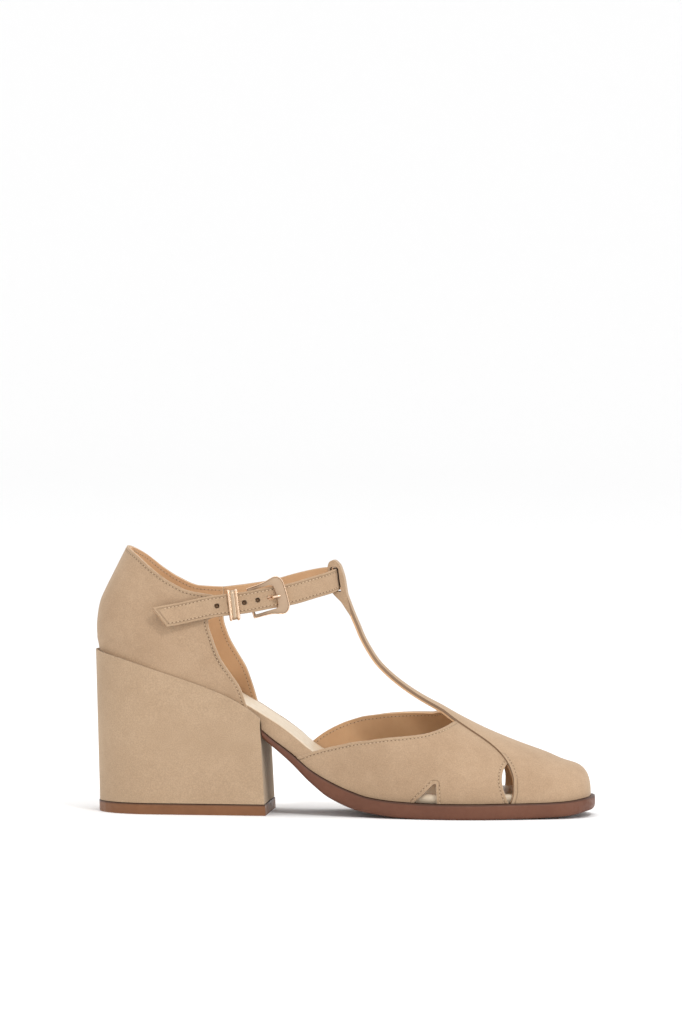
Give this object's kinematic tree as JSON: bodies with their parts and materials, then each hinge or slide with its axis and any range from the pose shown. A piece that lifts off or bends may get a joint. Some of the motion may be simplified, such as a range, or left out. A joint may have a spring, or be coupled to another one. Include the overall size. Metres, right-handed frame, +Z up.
{
  "type": "t strap shoe",
  "caption": "Women's T-strap shoe on a high covered block heel, with open waist, cut-out side panels, closed toe and a buckled ankle strap.",
  "frame": {"origin": "on the floor, under the middle of the shoe's box", "axes": "+X from the heel to the toe, +Y to the inner side of the foot, +Z up"},
  "size_m": [0.2502, 0.0808, 0.1327],
  "materials": {
    "suede": "sand-coloured nubuck, soft and matt, with a faint mottle",
    "sock": "pale cream sock leather with a slight sheen",
    "lining": "smooth tan lining leather",
    "sole_leather": "stained mid-brown sole leather with a waxed edge",
    "top_piece": "brown heel tip, satin",
    "gold_metal": "polished pale gold metal",
    "inlay": "nude inlay on the buckle's face",
    "thread": "fine matching thread"
  },
  "bodies": {
    "root": {"upper": "suede", "insole": "sock", "outsole": "sole_leather", "heel": "suede", "top_piece": "top_piece", "ankle_strap": "suede", "buckle_frame": "gold_metal", "buckle_prong": "gold_metal", "keeper": "gold_metal"}
  },
  "joints": []
}
